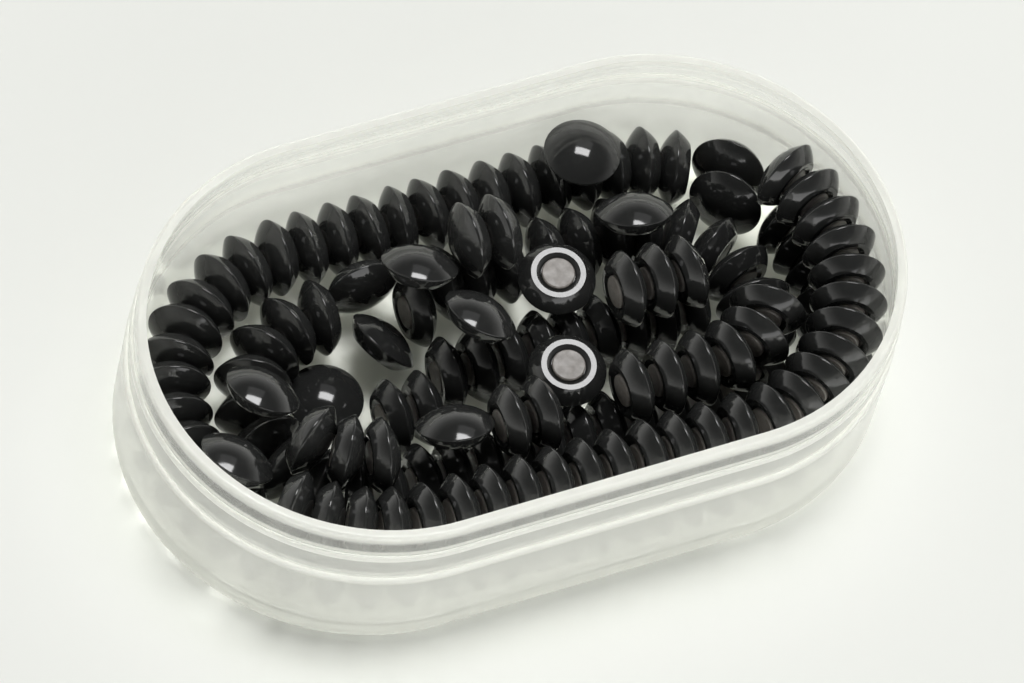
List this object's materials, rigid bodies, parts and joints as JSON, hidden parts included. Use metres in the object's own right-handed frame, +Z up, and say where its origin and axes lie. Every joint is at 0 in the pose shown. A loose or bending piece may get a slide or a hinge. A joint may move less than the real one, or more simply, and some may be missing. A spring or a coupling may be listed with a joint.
{
  "type": "go stone bowl with stones",
  "caption": "Clear stadium-shaped open case holding black magnetic go stones, clumped by their magnets into rows on edge that lift out over the rim",
  "frame": {"origin": "centre of the foot's underside, where the case stands", "axes": "+X along the case, +Y across it, +Z up"},
  "size_m": [0.1106, 0.0656, 0.026],
  "materials": {
    "clear_plastic": "clear moulded plastic, polished, faint olive tint in the edges",
    "stone_plastic": "moulded black plastic, polished",
    "magnet": "sintered disc magnet, warm dark grey, matt"
  },
  "bodies": {
    "tray": {"tray": "clear_plastic"},
    "floor_stones": {"far_right_row_stones": "stone_plastic", "far_right_row_magnets": "magnet", "left_row_stones": "stone_plastic", "left_row_magnets": "magnet", "near_row_stones": "stone_plastic", "near_row_magnets": "magnet", "right_row_stones": "stone_plastic", "right_row_magnets": "magnet", "inner_far_row_stones": "stone_plastic", "inner_far_row_magnets": "magnet", "inner_far_right_row_stones": "stone_plastic", "inner_far_right_row_magnets": "magnet", "inner_right_row_stones": "stone_plastic", "inner_right_row_magnets": "magnet", "inner_near_row_stones": "stone_plastic", "inner_near_row_magnets": "magnet", "inner_left_row_stones": "stone_plastic", "inner_left_row_magnets": "magnet", "centre_row_stones": "stone_plastic", "centre_row_magnets": "magnet", "left_centre_row_stones": "stone_plastic", "left_centre_row_magnets": "magnet", "between_stones": "stone_plastic", "between_magnets": "magnet"},
    "far_row": {"far_row_stones": "stone_plastic", "far_row_magnets": "magnet"},
    "right_upper_row": {"right_upper_row_stones": "stone_plastic", "right_upper_row_magnets": "magnet"},
    "near_upper_row": {"near_upper_row_stones": "stone_plastic", "near_upper_row_magnets": "magnet"},
    "left_upper_row": {"left_upper_row_stones": "stone_plastic", "left_upper_row_magnets": "magnet"},
    "inner_right_upper_row": {"inner_right_upper_row_stones": "stone_plastic", "inner_right_upper_row_magnets": "magnet"},
    "inner_near_upper_row": {"inner_near_upper_row_stones": "stone_plastic", "inner_near_upper_row_magnets": "magnet"},
    "inner_left_upper_row": {"inner_left_upper_row_stones": "stone_plastic", "inner_left_upper_row_magnets": "magnet"},
    "inner_far_upper_row": {"inner_far_upper_row_stones": "stone_plastic", "inner_far_upper_row_magnets": "magnet"},
    "centre_upper_row": {"centre_upper_row_stones": "stone_plastic", "centre_upper_row_magnets": "magnet"},
    "dome_up_stone_a": {"dome_up_stone_a": "stone_plastic", "dome_up_stone_a_magnet": "magnet"},
    "dome_up_stone_b": {"dome_up_stone_b": "stone_plastic", "dome_up_stone_b_magnet": "magnet"},
    "dome_up_stone_c": {"dome_up_stone_c": "stone_plastic", "dome_up_stone_c_magnet": "magnet"},
    "dome_up_stone_d": {"dome_up_stone_d": "stone_plastic", "dome_up_stone_d_magnet": "magnet"},
    "dome_up_stone_e": {"dome_up_stone_e": "stone_plastic", "dome_up_stone_e_magnet": "magnet"},
    "dome_up_stone_f": {"dome_up_stone_f": "stone_plastic", "dome_up_stone_f_magnet": "magnet"},
    "base_up_stone_a": {"base_up_stone_a": "stone_plastic", "base_up_stone_a_magnet": "magnet"},
    "base_up_stone_b": {"base_up_stone_b": "stone_plastic", "base_up_stone_b_magnet": "magnet"}
  },
  "joints": [
    {"name": "floor_stones_lift", "type": "slide", "parent": "tray", "child": "floor_stones", "axis": [0, 0, 1], "range_m": [0, 0.06]},
    {"name": "far_row_lift", "type": "slide", "parent": "tray", "child": "far_row", "axis": [0, 0, 1], "range_m": [0, 0.06]},
    {"name": "right_upper_row_lift", "type": "slide", "parent": "floor_stones", "child": "right_upper_row", "axis": [0, 0, 1], "range_m": [0, 0.06]},
    {"name": "near_upper_row_lift", "type": "slide", "parent": "floor_stones", "child": "near_upper_row", "axis": [0, 0, 1], "range_m": [0, 0.06]},
    {"name": "left_upper_row_lift", "type": "slide", "parent": "floor_stones", "child": "left_upper_row", "axis": [0, 0, 1], "range_m": [0, 0.06]},
    {"name": "inner_right_upper_row_lift", "type": "slide", "parent": "floor_stones", "child": "inner_right_upper_row", "axis": [0, 0, 1], "range_m": [0, 0.06]},
    {"name": "inner_near_upper_row_lift", "type": "slide", "parent": "floor_stones", "child": "inner_near_upper_row", "axis": [0, 0, 1], "range_m": [0, 0.06]},
    {"name": "inner_left_upper_row_lift", "type": "slide", "parent": "floor_stones", "child": "inner_left_upper_row", "axis": [0, 0, 1], "range_m": [0, 0.06]},
    {"name": "inner_far_upper_row_lift", "type": "slide", "parent": "floor_stones", "child": "inner_far_upper_row", "axis": [0, 0, 1], "range_m": [0, 0.06]},
    {"name": "centre_upper_row_lift", "type": "slide", "parent": "floor_stones", "child": "centre_upper_row", "axis": [0, 0, 1], "range_m": [0, 0.06]},
    {"name": "dome_up_stone_a_lift", "type": "slide", "parent": "floor_stones", "child": "dome_up_stone_a", "axis": [0, 0, 1], "range_m": [0, 0.06]},
    {"name": "dome_up_stone_b_lift", "type": "slide", "parent": "floor_stones", "child": "dome_up_stone_b", "axis": [0, 0, 1], "range_m": [0, 0.06]},
    {"name": "dome_up_stone_c_lift", "type": "slide", "parent": "floor_stones", "child": "dome_up_stone_c", "axis": [0, 0, 1], "range_m": [0, 0.06]},
    {"name": "dome_up_stone_d_lift", "type": "slide", "parent": "floor_stones", "child": "dome_up_stone_d", "axis": [0, 0, 1], "range_m": [0, 0.06]},
    {"name": "dome_up_stone_e_lift", "type": "slide", "parent": "floor_stones", "child": "dome_up_stone_e", "axis": [0, 0, 1], "range_m": [0, 0.06]},
    {"name": "dome_up_stone_f_lift", "type": "slide", "parent": "floor_stones", "child": "dome_up_stone_f", "axis": [0, 0, 1], "range_m": [0, 0.06]},
    {"name": "base_up_stone_a_lift", "type": "slide", "parent": "floor_stones", "child": "base_up_stone_a", "axis": [0, 0, 1], "range_m": [0, 0.06]},
    {"name": "base_up_stone_b_lift", "type": "slide", "parent": "floor_stones", "child": "base_up_stone_b", "axis": [0, 0, 1], "range_m": [0, 0.06]}
  ]
}
